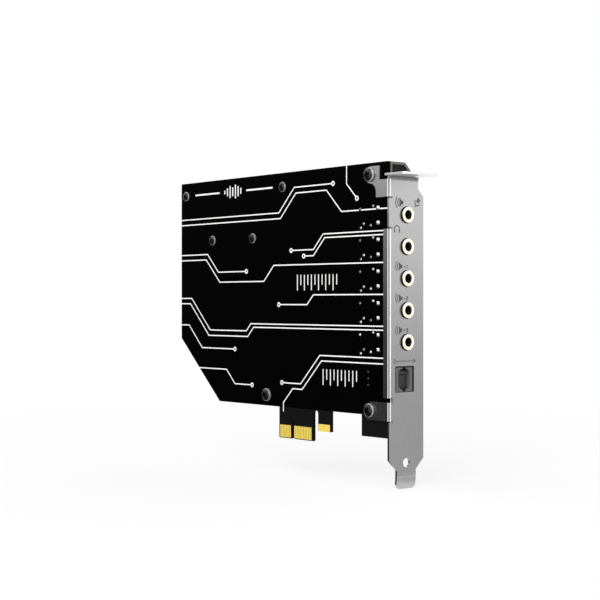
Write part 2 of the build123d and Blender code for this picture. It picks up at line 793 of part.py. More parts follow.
with BuildPart() as shutter:
    with BuildSketch(Plane.XZ.offset(-(port_y + shutter_w / 2))):
        with Locations((pivot[0], pivot[2])):
            Circle(barrel_r)
        with Locations((pivot[0], pivot[2] - foot_drop / 2)):
            Rectangle(shutter_t, foot_drop)
        with Locations((pivot[0], pivot[2])):
            Circle(pin_r + pin_run_clear, mode=Mode.SUBTRACT)
    extrude(amount=shutter_w)
save(shutter.part, "optical_shutter")

with BuildPart() as shutter_pin:
    with BuildSketch(Plane.XZ.offset(-pin_high_y)):
        with Locations((pivot[0], pivot[2])):
            Circle(pin_r)
    extrude(amount=pin_high_y - pin_low_y)
save(shutter_pin.part, "shutter_pin")

with BuildPart() as emitter:
    box_between(
        port_rear_x,
        emitter_x,
        port_y - emitter_w / 2,
        port_y + emitter_w / 2,
        port_z - emitter_w / 2,
        port_z + emitter_w / 2,
    )
    with BuildSketch(Plane.YZ.offset(emitter_x)):
        with Locations((port_y, port_z)):
            Circle(emitter_nose_r)
    extrude(amount=emitter_nose_len)
save(emitter.part, "optical_emitter")

with BuildPart() as leads:
    with BuildSketch(solder_side):
        with Locations(*lead_places):
            Rectangle(lead_w, lead_w)
    extrude(amount=-(port_y - emitter_w / 2 - board_y))
save(leads.part, "optical_port_leads")

# Front-panel header at the far end, with its pins bent down to the board behind it
header_pins = [
    (col - (header_col_count - 1) / 2, row) for col in range(header_col_count) for row in (0, 1)
]
header_end_x = header_x + header_depth
header_floor_x = header_end_x - header_floor
header_mid_y = parts_y + header_h / 2


def header_pin_place(col, row):
    """Height above the board's face and place along Z of one pin of the header."""
    return header_mid_y + (row - 0.5) * header_pitch, header_z + col * header_pitch


with BuildPart() as header:
    box_between(
        header_x, header_end_x, parts_y, parts_y + header_h, header_z - header_l / 2, header_z + header_l / 2
    )
    box_between(
        header_x,
        header_floor_x,
        parts_y + header_wall,
        parts_y + header_h - header_wall,
        header_z - header_l / 2 + header_wall,
        header_z + header_l / 2 - header_wall,
        Mode.SUBTRACT,
    )
    box_between(
        header_x,
        header_floor_x,
        parts_y + header_h - header_wall,
        parts_y + header_h,
        header_z - header_slot_w / 2,
        header_z + header_slot_w / 2,
        Mode.SUBTRACT,
    )
    with BuildSketch(Plane.YZ.offset(header_floor_x)):
        with Locations(*[header_pin_place(col, row) for col, row in header_pins]):
            Rectangle(header_pin_w + 2 * pilot_clear, header_pin_w + 2 * pilot_clear)
    extrude(amount=header_floor, mode=Mode.SUBTRACT)
save(header.part, "front_panel_header")

with BuildPart() as header_pin_set:
    for col, row in header_pins:
        y, z = header_pin_place(col, row)
        tail_x = header_end_x + (1 + row) * header_pin_w * 2
        half = header_pin_w / 2
        box_between(header_x + header_wall, tail_x, y - half, y + half, z - half, z + half)
        box_between(tail_x - header_pin_w, tail_x, parts_y, y + half, z - half, z + half)
save(header_pin_set.part, "front_panel_pins")


def blocks(places, size_x, size_z, height):
    """Equal blocks that stand on the board's parts side."""
    with BuildSketch(parts_side) as feet:
        with Locations(*places):
            Rectangle(size_x, size_z)
    extrude(feet.sketch, amount=-height)


# Analogue parts, in one row for each jack, measured back from the board's near end
relay_back = 25.0
resistor_back = 30.3
op_amp_back = 35.2
film_back = 43.0
can_back = 51.5
relay_size = (7.4, 10.2, 5.6)
film_size = (5.0, 7.2, 4.6)
op_amp_size = (3.9, 4.9, 1.5)
case_bevel = 0.4
lead_out = 1.0
so_pitch = 1.27
so_lead_w = 0.42
so_lead_h = 0.75
so_legs = [-1.5 * so_pitch, -0.5 * so_pitch, 0.5 * so_pitch, 1.5 * so_pitch]

with BuildPart() as relays:
    blocks([(near_x - relay_back, z) for z in jack_zs[:3]], *relay_size)
    chamfer(relays.faces().group_by(Axis.Y)[-1].edges(), case_bevel)
save(relays.part, "muting_relays")

with BuildPart() as op_amps:
    blocks([(near_x - op_amp_back, z) for z in jack_zs[:3]], *op_amp_size)
    legs = [(near_x - op_amp_back, z + up) for z in jack_zs[:3] for up in so_legs]
    blocks(legs, op_amp_size[0] + 2 * lead_out, so_lead_w, so_lead_h)
save(op_amps.part, "op_amps")

with BuildPart() as film_capacitors:
    blocks([(near_x - film_back, z) for z in jack_zs], *film_size)
    chamfer(film_capacitors.faces().group_by(Axis.Y)[-1].edges(), case_bevel)
save(film_capacitors.part, "film_capacitors")

# Capacitor cans stand on square plastic bases
can_r = 3.15
can_h = 7.2
can_base_w = 6.6
can_base_h = 0.7
can_base_bevel = 1.3
can_places = [(near_x - can_back, z) for z in jack_zs[:3]]

can_base_half = can_base_w / 2
can_base_corners = [
    (-can_base_half, -can_base_half + can_base_bevel),
    (-can_base_half + can_base_bevel, -can_base_half),
    (can_base_half, -can_base_half),
    (can_base_half, can_base_half),
    (-can_base_half + can_base_bevel, can_base_half),
    (-can_base_half, can_base_half - can_base_bevel),
]
can_seat = parts_side.offset(-can_base_h)

with BuildPart() as can_bases:
    with BuildSketch(parts_side):
        with Locations(*can_places):
            Polygon(*can_base_corners)
    extrude(amount=-can_base_h)
save(can_bases.part, "capacitor_bases")

with BuildPart() as cans:
    with BuildSketch(can_seat):
        with Locations(*can_places):
            Circle(can_r)
    extrude(amount=-can_h)
save(cans.part, "electrolytic_capacitors")

# Converters, amplifier and bus chip
dac_w = 9.0
dac_h = 1.0
adc_w = 6.2
adc_back = 46.5
amp_w = 7.0
amp_h = 1.8
bus_w = 8.0
bus_up = 18.0

with BuildPart() as dac_chip:
    blocks([(near_x - can_back, (jack_zs[3] + jack_zs[4]) / 2)], dac_w, dac_w, dac_h)
save(dac_chip.part, "output_converter_chip")

with BuildPart() as adc_chip:
    blocks([(near_x - adc_back, jack_zs[4] - jack_pitch)], adc_w, adc_w, dac_h)
save(adc_chip.part, "input_converter_chip")

with BuildPart() as amp_chip:
    blocks([(near_x - op_amp_back, jack_zs[4] - jack_pitch)], amp_w, amp_w, amp_h)
save(amp_chip.part, "headphone_amplifier_chip")

with BuildPart() as bus_chip:
    blocks([(key_x, low_z + bus_up)], bus_w, bus_w, dac_h)
save(bus_chip.part, "bus_interface_chip")

# Digital and power parts, measured from the board's far end
processor_ahead = 44.0
processor_down = 52.0
processor_w = 17.0
processor_cap_w = 15.0
processor_base_h = 0.6
processor_h = 1.6
memory_ahead = 27.0
memory_down = 70.0
memory_w = 5.2
crystal_ahead = 44.0
crystal_down = 66.0
crystal_size = (3.2, 5.0, 1.2)
crystal_pitch = 8.0
regulator_ahead = 18.5
inductor_ahead = 28.5
power_downs = [38.0, 48.0, 58.0]
regulator_size = (6.2, 6.6, 2.3)
regulator_tab = (9.4, 5.2, 0.6)
inductor_w = 7.2
inductor_h = 4.0
inductor_bevel = 1.4

with BuildPart() as processor:
    blocks([(far_x + processor_ahead, top_z - processor_down)], processor_w, processor_w, processor_base_h)
    blocks([(far_x + processor_ahead, top_z - processor_down)], processor_cap_w, processor_cap_w, processor_h)
save(processor.part, "audio_processor_chip")

with BuildPart() as memory:
    blocks([(far_x + memory_ahead, top_z - memory_down)], memory_w, memory_w, amp_h)
    legs = [(far_x + memory_ahead, top_z - memory_down + up) for up in so_legs]
    blocks(legs, memory_w + 2 * lead_out, so_lead_w, so_lead_h)
save(memory.part, "firmware_memory_chip")

with BuildPart() as crystals:
    places = [
        (far_x + crystal_ahead - crystal_pitch / 2, top_z - crystal_down),
        (far_x + crystal_ahead + crystal_pitch / 2, top_z - crystal_down),
    ]
    blocks(places, *crystal_size)
save(crystals.part, "clock_crystals")

with BuildPart() as regulators:
    places = [(far_x + regulator_ahead, top_z - down) for down in power_downs]
    blocks(places, *regulator_size)
    blocks(places, *regulator_tab)
save(regulators.part, "voltage_regulators")

with BuildPart() as inductors:
    with BuildSketch(parts_side):
        with Locations(*[(far_x + inductor_ahead, top_z - down) for down in power_downs]):
            Rectangle(inductor_w, inductor_w)
        chamfer(vertices(), inductor_bevel)
    extrude(amount=-inductor_h)
save(inductors.part, "power_inductors")

# Small surface-mounted parts
chip_cap_size = (1.25, 2.0, 1.0)
chip_cap_gap = 1.9
chip_cap_pitch = 2.8
resistor_size = (0.8, 1.6, 0.45)
resistor_offset = 2.6

with BuildPart() as chip_capacitors:
    places = [
        (
            far_x + processor_ahead + (i - 2.5) * chip_cap_pitch,
            top_z - processor_down + processor_w / 2 + chip_cap_gap,
        )
        for i in range(6)
    ]
    above_bus_chip = low_z + bus_up + bus_w / 2 + chip_cap_gap
    places += [(key_x + (i - 1.5) * chip_cap_pitch, above_bus_chip) for i in range(4)]
    blocks(places, *chip_cap_size)
save(chip_capacitors.part, "chip_capacitors")

with BuildPart() as chip_resistors:
    places = [(near_x - resistor_back, z + side * resistor_offset) for z in jack_zs for side in (-1, 1)]
    blocks(places, *resistor_size)
save(chip_resistors.part, "chip_resistors")
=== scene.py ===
# %% [markdown]
# # A plug-in sound card on a white studio floor
# The card is already modelled as solids. This lesson loads them as a fixed frame and gives them
# their looks: finishes made from shader nodes, rings and screws turned as surfaces, soft edges on
# sheet and mouldings, small printed signs, and a plain studio. Sizes are written in millimetres.

# %% Load the fixed frame
import json
import math

import bmesh
import bpy
import numpy as np
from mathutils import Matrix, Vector


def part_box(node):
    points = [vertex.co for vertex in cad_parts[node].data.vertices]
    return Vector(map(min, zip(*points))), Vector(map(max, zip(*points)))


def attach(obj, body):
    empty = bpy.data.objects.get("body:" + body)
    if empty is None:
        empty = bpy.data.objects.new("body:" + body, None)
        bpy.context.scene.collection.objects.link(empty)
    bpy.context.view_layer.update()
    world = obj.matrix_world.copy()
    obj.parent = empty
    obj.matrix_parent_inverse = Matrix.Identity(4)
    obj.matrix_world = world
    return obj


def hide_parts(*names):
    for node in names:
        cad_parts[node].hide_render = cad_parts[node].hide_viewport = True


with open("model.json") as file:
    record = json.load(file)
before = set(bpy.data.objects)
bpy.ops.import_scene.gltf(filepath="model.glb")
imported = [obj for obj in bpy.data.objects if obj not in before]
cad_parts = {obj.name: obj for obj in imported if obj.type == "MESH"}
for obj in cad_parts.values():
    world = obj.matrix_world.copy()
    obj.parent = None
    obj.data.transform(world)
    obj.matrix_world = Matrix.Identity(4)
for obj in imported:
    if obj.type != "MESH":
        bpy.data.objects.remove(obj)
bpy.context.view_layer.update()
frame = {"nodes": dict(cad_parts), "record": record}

MM = 0.001

# %% [markdown]
# Most places are read from the boxes of the solids, so the looks follow the card if it changes.
# The board lies in the X and Z directions, its printed side looks along -Y, and the bracket's face
# looks along +X.

# %% Places taken from the solids


def box_mm(node):
    """Lowest and highest corner of a solid, in millimetres."""
    low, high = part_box(node)
    return np.array(low) / MM, np.array(high) / MM


board_low, board_high = box_mm("circuit_board")
far_x, board_y, top_z = board_low[0], board_low[1], board_high[2]
bracket_end_z = box_mm("bracket")[0][2]
cover_end_x = box_mm("cover")[1][0]
port_low, port_high = box_mm("optical_port_housing")
port_z = (port_low[2] + port_high[2]) / 2
rings = [box_mm(f"jack_{i}_sleeve") for i in range(1, 6)]
ring_front_x = rings[0][1][0]
jack_y = (rings[0][0][1] + rings[0][1][1]) / 2
jack_zs = [(low[2] + high[2]) / 2 for low, high in rings]
print("board", np.round(board_high - board_low, 2), "mm, jacks at", np.round(jack_zs, 2))

# %% [markdown]
# A box doesn't say where a fold or a step lies inside it. These lines come from the standard sizes of
# a slot bracket and from measures of this card. Heights on the bracket count from the flange's seat,
# which is at 0, so everything below it is negative.

# %% Lines inside the boxes

sheet_t, bracket_w, foot_w, foot_h, foot_fold_h = 0.86, 18.42, 10.19, 7.2, 5.0
lip_y = board_y - sheet_t
foot_edge_y = lip_y + (bracket_w - foot_w) / 2
foot_bend_z, foot_top_z = bracket_end_z + foot_fold_h, bracket_end_z + foot_h
top_tab_high_z, top_tab_low_z = -0.9, -7.66
# The lip's painted shade starts below lip_shade_z, fades from lip_pale_z down and is darkest below
# lip_dark_z; the side fold's painted highlight runs from lip_dark_z up to lip_fold_z.
lip_shade_z, lip_fold_z, lip_pale_z, lip_dark_z = -14.0, -19.86, -20.0, -93.1

port_set_back, port_axis_h, mouth_h, mask_step_drop = 0.3, 5.81, 7.93, 14.04
face_x = port_high[0] + port_set_back
port_y = board_high[1] + port_axis_h
port_half_w = (port_high[2] - port_low[2]) / 2
port_low_y, port_high_y = port_y - port_half_w, port_y + port_half_w
mouth_ends = [(0, port_y * MM, (port_z + side * mouth_h / 2) * MM) for side in (-1, 1)]
mask_step_z = port_z - mask_step_drop
print("face at", round(face_x, 2), "mm, foot bent at", round(foot_bend_z, 2), "mm")

# %% [markdown]
# A finish in Blender is a small graph of nodes. Writing the graph as sums and products is easier to
# read than linking nodes one by one, so a socket is wrapped in a class whose operators add Math nodes.

# %% A wrapper that turns Python operators into shader nodes


class Value:
    """An output socket. Its operators add a Math node and return that node's output."""

    def __init__(self, finish, socket):
        self.finish = finish
        self.socket = socket

    def math(self, operation, first, second):
        return self.finish.add("ShaderNodeMath", {"operation": operation}, {0: first, 1: second})

    def __add__(self, other):
        return self.math("ADD", self, other)

    def __radd__(self, other):
        return self.math("ADD", other, self)

    def __sub__(self, other):
        return self.math("SUBTRACT", self, other)

    def __rsub__(self, other):
        return self.math("SUBTRACT", other, self)

    def __mul__(self, other):
        return self.math("MULTIPLY", self, other)

    def __rmul__(self, other):
        return self.math("MULTIPLY", other, self)

    def __lt__(self, other):
        return self.math("LESS_THAN", self, other)

    def __gt__(self, other):
        return self.math("GREATER_THAN", self, other)

    def between(self, low, high):
        """1 where the value lies between low and high, 0 elsewhere."""
        return (self > low) * (self < high)

    def capped(self):
        """The value, but never above 1, for masks that are added where they may overlap."""
        return self.math("MINIMUM", self, 1.0)


print("a wrapper for sockets:", Value.__name__)

# %% [markdown]
# Each finish starts as a material with one Principled shader. A single method adds every other node,
# and short helpers built on it name what the nodes are for: noise, a ramp, a mix of colours, a bump.

# %% A finish that grows by calls


class Finish:
    """A material with a Principled shader, and one method that adds any other node."""

    def __init__(self, name, metallic=0.0, specular=0.5):
        self.material = bpy.data.materials.new(name)
        self.material.use_nodes = True
        self.tree = self.material.node_tree
        self.shader = self.tree.nodes["Principled BSDF"]
        self.shader.inputs["Metallic"].default_value = metallic
        self.shader.inputs["Specular IOR Level"].default_value = specular

    def add(self, kind, settings=None, inputs=None, output=0):
        """Adds a node: its settings first, then the values or links of its sockets."""
        node = self.tree.nodes.new(kind)
        for key, setting in (settings or {}).items():
            setattr(node, key, setting)
        for key, value in (inputs or {}).items():
            self.put(node.inputs[key], value)
        return Value(self, node.outputs[output])

    def put(self, socket, value):
        """Links a Value to a socket, or sets a constant on it."""
        if isinstance(value, Value):
            self.tree.links.new(value.socket, socket)
        else:
            socket.default_value = value

    def place(self):
        """Object coordinates, in metres."""
        return self.add("ShaderNodeTexCoord", output="Object")

    def along(self, axis):
        """One coordinate of the place, in millimetres."""
        parts = self.add("ShaderNodeSeparateXYZ", {}, {"Vector": self.place()}, output=axis)
        return parts * (1 / MM)

    def noise(self, size_mm, stretch=(1, 1, 1)):
        """Noise from 0 to 1 whose blotches are about size_mm across, longer where stretch is small."""
        scaled = self.add("ShaderNodeMapping", {}, {"Vector": self.place(), "Scale": stretch})
        sockets = {"Vector": scaled, "Scale": 1 / (size_mm * MM), "Detail": 3.0}
        return self.add("ShaderNodeTexNoise", {}, sockets)

    def ramp(self, value, low, high):
        """0 up to low, 1 from high on, and an even slope between them."""
        sockets = {"Value": value, "From Min": low, "From Max": high}
        return self.add("ShaderNodeMapRange", {}, sockets)

    def mix(self, share, first, second):
        """A blend of two colours, from first at 0 to second at 1."""
        colours = [c if isinstance(c, Value) else (*c, 1.0) for c in (first, second)]
        sockets = {0: share, 6: colours[0], 7: colours[1]}
        return self.add("ShaderNodeMix", {"data_type": "RGBA"}, sockets, output=2)

    def bump(self, height, depth_mm, strength):
        """A normal tilted by the slopes of a height from 0 to 1 that stands for depth_mm."""
        sockets = {"Height": height, "Distance": depth_mm * MM, "Strength": strength}
        return self.add("ShaderNodeBump", {}, sockets, output="Normal")

    def wear(self, colour, roughness, normal=None):
        """Links the finished colour, roughness and normal to the shader."""
        self.put(self.shader.inputs["Base Color"], colour)
        self.put(self.shader.inputs["Roughness"], roughness)
        if normal is not None:
            self.put(self.shader.inputs["Normal"], normal)
        return self.material


print("a wrapper for materials:", Finish.__name__)

# %% [markdown]
# The board is glass fibre under a black solder mask. The photo shows it almost pure black, and a
# little greyer on the tongue and the lobe below the cover, so the colour steps at that height. The
# weave of the glass shows as a bump far finer than the print.

# %% Finishes of the board, its print and its contacts


def board_mask():
    """Black, with a weave whose height is the product of two sine waves 0.7 mm long."""
    radians_per_mm = 9.0
    finish = Finish("board_mask", specular=0.008)
    x, z = finish.along("X"), finish.along("Z")
    blotches = finish.noise(9.0)
    dark = finish.mix(blotches, (0.0004, 0.0004, 0.0004), (0.001, 0.001, 0.001))
    tongue = finish.mix(blotches, (0.006, 0.006, 0.0065), (0.0095, 0.0095, 0.0105))
    colour = finish.mix(z < mask_step_z, dark, tongue)
    weave_x, weave_z = (
        finish.add("ShaderNodeMath", {"operation": "SINE"}, {0: way * radians_per_mm}) for way in (x, z)
    )
    return finish.wear(colour, 0.42 + 0.12 * blotches, finish.bump(weave_x * weave_z, 0.006, 0.25))


def white_ink():
    """Printed ink, chalky and a little uneven."""
    finish = Finish("white_ink", specular=0.3)
    grain = finish.noise(0.18)
    colour = finish.mix(grain, (0.90, 0.90, 0.89), (0.96, 0.96, 0.95))
    return finish.wear(colour, 0.5 + 0.1 * grain, finish.bump(grain, 0.01, 0.4))


def gold_plating():
    """Plated contacts, rubbed along their length by the slot."""
    finish = Finish("gold_plating", metallic=0.1)
    rubbed = finish.noise(0.8, stretch=(1, 1, 0.12))
    colour = finish.mix(rubbed, (0.92, 0.66, 0.10), (1.0, 0.80, 0.15))
    return finish.wear(colour, 0.2 + 0.16 * rubbed, finish.bump(rubbed, 0.004, 0.3))


def tin_solder():
    """Bright tin, with the ripple in which it set."""
    finish = Finish("tin_solder", metallic=1.0)
    ripple = finish.noise(0.4)
    colour = finish.mix(ripple, (0.74, 0.74, 0.74), (0.92, 0.92, 0.91))
    return finish.wear(colour, 0.18 + 0.2 * ripple, finish.bump(ripple, 0.03, 0.5))


def dull_solder():
    """Solder under a skin of flux, thick on some joints and thin on others, and dark at the port."""
    finish = Finish("dull_solder", metallic=0.6)
    ripple = finish.noise(0.5)
    bare = finish.ramp(finish.noise(5.0), 0.42, 0.56)
    at_jacks = finish.along("Z") > port_high[2]
    shiny = finish.mix(0.75 * bare + 0.25 * ripple, (0.16, 0.16, 0.155), (0.95, 0.95, 0.94))
    colour = finish.mix(at_jacks, (0.05, 0.05, 0.05), shiny)
    return finish.wear(colour, 0.35 + 0.2 * ripple, finish.bump(ripple, 0.03, 0.5))


mask, ink, gold, tin, dull_tin = board_mask(), white_ink(), gold_plating(), tin_solder(), dull_solder()
print("board finishes:", mask.name, ink.name, gold.name, tin.name, dull_tin.name)

# %% [markdown]
# Sheet steel under satin nickel is a metal with a fine grain and a broad, soft shine. The grain runs
# down the bracket, so the noise is stretched along Z, and a second, coarser noise keeps the face from
# looking like one flat grey. Light and shade are painted on top: two painted highlights with a painted
# dark line between them along the side fold, painted shade in the fold under the flange, a paler
# painted reflection on the flange, a painted highlight over the foot's crease, and painted shade on
# the lip and the foot's edge that gets darker towards the foot. Each is a mask made by comparing
# coordinates, so it stays in its place from every side.

# %% Finish of the folded bracket

hair, skin = 0.01, 0.06                  # how far a mask goes past a face, and in from one
crease_highlight_h, lip_fade_h = 1.4, 41.0         # heights of the painted highlight over the crease and of the fade of the lip's painted shade
flange_starts, flange_full = 0.6, 1.6    # ways out from the face over which the flange's painted reflection grows
shaded_reach, shaded_drop = 0.75, 1.3    # size of the painted shade in the fold under the flange
fold_highlight_back, fold_highlight_w = 1.1, 1.0   # depth and width of the painted highlight along the side fold
dark_line_from, dark_line_to = 0.20, 0.56    # the painted dark line inside that highlight, a painted reflection


def bracket_nickel():
    """Satin nickel, with painted highlights and painted shade laid on by place at its flange, folds,
    crease, lip and foot.
    """
    finish = Finish("bracket_nickel", metallic=1.0)
    x, y, z = (finish.along(axis) for axis in "XYZ")
    grain = finish.noise(0.5, stretch=(1, 1, 0.2))
    cloud = finish.noise(14.0)
    satin_and_painted_light = finish.mix(0.15 * grain + 0.6 * cloud, (0.49, 0.49, 0.495), (0.56, 0.56, 0.565))
    # Painted highlight: a band just under the foot's bend is painted paler.
    crease_highlight = finish.ramp(z, foot_bend_z - crease_highlight_h, foot_bend_z) * (z < foot_bend_z)
    satin_and_painted_light = finish.mix(crease_highlight, satin_and_painted_light, (0.70, 0.70, 0.70))
    # Painted reflection: the flange is painted paler, nearly white, away from the face.
    flange_reflection = finish.ramp(x, face_x + flange_starts, face_x + flange_full)
    satin_and_painted_light = finish.mix(flange_reflection, satin_and_painted_light, (0.86, 0.86, 0.855))
    # Painted shade: the fold under the flange is painted dark grey.
    fold_shade = x.between(face_x - 2 * hair, face_x + shaded_reach) * z.between(-shaded_drop, 2 * hair)
    satin_and_painted_light = finish.mix(fold_shade, satin_and_painted_light, (0.27, 0.27, 0.27))
    # Painted highlight: a strip along the side fold, on the tabs and the lip, is painted near white.
    at_side = x.between(face_x - fold_highlight_back, face_x + hair) * (y < lip_y + fold_highlight_w)
    on_folds = z.between(top_tab_low_z, top_tab_high_z) + z.between(lip_dark_z, lip_fold_z)
    painted_fold_highlight = at_side * on_folds
    satin_and_painted_light = finish.mix(painted_fold_highlight, satin_and_painted_light, (0.93, 0.93, 0.93))
    # Painted reflection: a thin dark line is painted inside that highlight.
    painted_dark_line = painted_fold_highlight * y.between(lip_y + dark_line_from, lip_y + dark_line_to)
    satin_and_painted_light = finish.mix(painted_dark_line, satin_and_painted_light, (0.14, 0.14, 0.14))
    # Painted shade: the lip's -Y face and the foot's edge are painted dark grey, darker towards the foot.
    up_lip = finish.ramp(z, lip_pale_z - lip_fade_h, lip_pale_z)
    shade = finish.mix(up_lip, (0.17, 0.168, 0.165), (0.40, 0.396, 0.393))
    shade = finish.mix(z < lip_dark_z, shade, (0.13, 0.128, 0.125))
    on_lip = (y < lip_y + skin) * (z < lip_shade_z)
    on_foot_edge = (y < foot_edge_y + skin) * (z < foot_top_z)
    colour = finish.mix((on_lip + on_foot_edge).capped(), satin_and_painted_light, shade)
    return finish.wear(colour, 0.24 + 0.06 * grain, finish.bump(grain, 0.001, 0.3))


nickel = bracket_nickel()
print(nickel.name, "has", len(nickel.node_tree.nodes), "nodes")

# %% [markdown]
# The other metals are small and need less. A screw's head has a painted highlight of light grey along
# its rim, and the head's mesh says where that is with an attribute, which the finish reads. A ring is
# bright gold on its front only, and its outside wall has painted shade, a dark brown.

# %% Finishes of the screws, the rings and the cans

ring_front_depth = 0.16


def dark_nickel():
    """Black nickel, with a painted highlight of light grey along the rim of each head."""
    finish = Finish("dark_nickel", metallic=1.0)
    cloud = finish.noise(0.9)
    dark = finish.mix(cloud, (0.02, 0.02, 0.021), (0.06, 0.06, 0.062))
    rim = finish.add("ShaderNodeAttribute", {"attribute_name": "rim"}, output="Fac")
    # Painted highlight: on the rim the black gives way to a light grey that is less metallic.
    colour = finish.mix(rim, dark, (0.42, 0.42, 0.42))
    finish.put(finish.shader.inputs["Metallic"], 1 - 0.75 * rim)
    return finish.wear(colour, 0.3 + 0.14 * cloud, finish.bump(cloud, 0.01, 0.3))


def ring_gold():
    """Pale gold on the ring's front, and painted shade, a dark brown, on the wall behind it."""
    finish = Finish("ring_gold", metallic=0.35)
    turned = finish.noise(0.3)
    behind_front = finish.along("X") < ring_front_x - ring_front_depth
    front = finish.mix(turned, (1.0, 0.96, 0.72), (1.0, 1.0, 0.84))
    # Painted shade: the wall behind the ring's front is painted dark brown.
    wall_shade = finish.mix(turned, (0.02, 0.016, 0.004), (0.05, 0.04, 0.012))
    return finish.wear(finish.mix(behind_front, front, wall_shade), 0.22 + 0.12 * turned)


def drawn_aluminium():
    """Cans drawn from sheet, with their grain along the board's thickness."""
    finish = Finish("drawn_aluminium", metallic=1.0)
    drawn = finish.noise(0.5, stretch=(1, 0.1, 1))
    colour = finish.mix(drawn, (0.62, 0.62, 0.64), (0.8, 0.8, 0.82))
    return finish.wear(colour, 0.25 + 0.15 * drawn, finish.bump(drawn, 0.01, 0.3))


screw_nickel, ring_metal, aluminium = dark_nickel(), ring_gold(), drawn_aluminium()
print("small metals:", screw_nickel.name, ring_metal.name, aluminium.name)

# %% [markdown]
# Mouldings differ mostly in how dark they are and how fine their spark-eroded texture is, so one
# function makes the plain ones from two colours and a grain size.

# %% Finishes of the plain mouldings


def moulding(name, dark, light, grain_mm, roughness, specular=0.3):
    """Plastic whose colour goes from dark to light with a fine grain and a cloud 40 times as large."""
    finish = Finish(name, specular=specular)
    grain = finish.noise(grain_mm)
    cloud = finish.noise(grain_mm * 40)
    colour = finish.mix(0.5 * grain + 0.5 * cloud, dark, light)
    return finish.wear(colour, roughness + 0.12 * grain, finish.bump(grain, 0.02, 0.35))


shutter_grey = moulding("shutter_grey", (0.026, 0.026, 0.028), (0.042, 0.042, 0.045), 0.25, 0.4)
jack_black = moulding("jack_black", (0.01, 0.01, 0.01), (0.02, 0.02, 0.02), 0.25, 0.5)
chip_black = moulding("chip_black", (0.014, 0.014, 0.015), (0.028, 0.028, 0.03), 0.15, 0.5)
film_red = moulding("film_red", (0.30, 0.02, 0.015), (0.48, 0.04, 0.03), 0.2, 0.35, 0.5)
sign_ink = moulding("sign_ink", (0.115, 0.115, 0.117), (0.16, 0.16, 0.163), 0.12, 0.6, 0.1)
print("plain mouldings:", shutter_grey.name, jack_black.name, chip_black.name, film_red.name, sign_ink.name)

# %% [markdown]
# Two mouldings have painted light and shade. The optical port has painted shade along the gap where it
# meets the bracket's window, and a painted dark dot for the shade in the notch at each end of its mouth.
# The cover's end, which shows above the flange, has a rim with a painted highlight, greyer than the
# satin black behind it.

# %% Finishes of the optical port and the cover

gap_shade_w, top_gap_shade_w, dot_r, port_front_depth = 0.5, 0.35, 0.9, 1.1
cover_rim_depth = 0.2


def port_moulding():
    """Grey, with painted shade along the gap at the window and at the mouth's notches, kept to the port's
    front.
    """
    finish = Finish("port_grey", specular=0.3)
    x, y, z = (finish.along(axis) for axis in "XYZ")
    grain = finish.noise(0.25)
    grey = finish.mix(grain, (0.085, 0.085, 0.087), (0.135, 0.135, 0.138))
    # Painted shade along the gap between the port and the bracket's window.
    gap_shade = (y > port_high_y - gap_shade_w) + (y < port_low_y + gap_shade_w) + (z > port_high[2] - top_gap_shade_w)
    # Painted shade of the notches: a dark dot at each end of the mouth.
    flat = finish.add("ShaderNodeVectorMath", {"operation": "MULTIPLY"}, {0: finish.place(), 1: (0, 1, 1)})
    ways = [
        finish.add("ShaderNodeVectorMath", {"operation": "DISTANCE"}, {0: flat, 1: end}, "Value")
        for end in mouth_ends
    ]
    notch_shade = (ways[0] < dot_r * MM) + (ways[1] < dot_r * MM)
    dark = (gap_shade + notch_shade).capped() * (x > port_high[0] - port_front_depth)
    colour = finish.mix(dark, grey, (0.006, 0.006, 0.006))
    return finish.wear(colour, 0.45 + 0.12 * grain, finish.bump(grain, 0.02, 0.35))


def cover_moulding():
    """Satin black, with a painted highlight that makes the rim of the end at the bracket greyer than the
    rest.
    """
    finish = Finish("cover_black", specular=0.08)
    grain = finish.noise(0.3)
    black = finish.mix(grain, (0.006, 0.006, 0.0065), (0.013, 0.013, 0.014))
    rim = finish.mix(grain, (0.11, 0.105, 0.10), (0.17, 0.165, 0.155))
    # Painted highlight: the end's rim is painted a lighter grey than the satin black.
    colour = finish.mix(finish.along("X") > cover_end_x - cover_rim_depth, black, rim)
    return finish.wear(colour, 0.38 + 0.12 * grain, finish.bump(grain, 0.02, 0.35))


port_grey, cover_black = port_moulding(), cover_moulding()
print("marked mouldings:", port_grey.name, cover_black.name)

# %% [markdown]
# A solid that already has the right form only needs a finish in its material slots. The record says
# which slot each solid has, so a table from slot to finish dresses them all.

# %% Dress the solids

finish_of_slot = {
    "board_black": mask, "white_print": ink, "gold_contacts": gold, "bracket_steel": nickel,
    "solder": tin, "screw_steel": screw_nickel, "cover_black": cover_black, "sleeve_gold": ring_metal,
    "tinned_terminals": tin, "jack_plastic": jack_black, "port_plastic": port_grey,
    "can_metal": aluminium, "film_red": film_red, "chip_black": chip_black,
}
for row in frame["record"]["subparts"]:
    solid = frame["nodes"][row["node"]]
    solid.data.materials.clear()
    solid.data.materials.append(finish_of_slot[row["material_slot"]])
frame["nodes"]["optical_shutter"].data.materials[0] = shutter_grey

# %% [markdown]
# No folded or moulded edge is perfectly sharp: each has a tiny round that catches the light as a thin
# line. The solids are loose triangles, so a copy is merged first, and a Bevel rounds its hard edges.

# %% Soft edges on the bracket, the cover and the optical port

HARD_EDGE = math.radians(30)


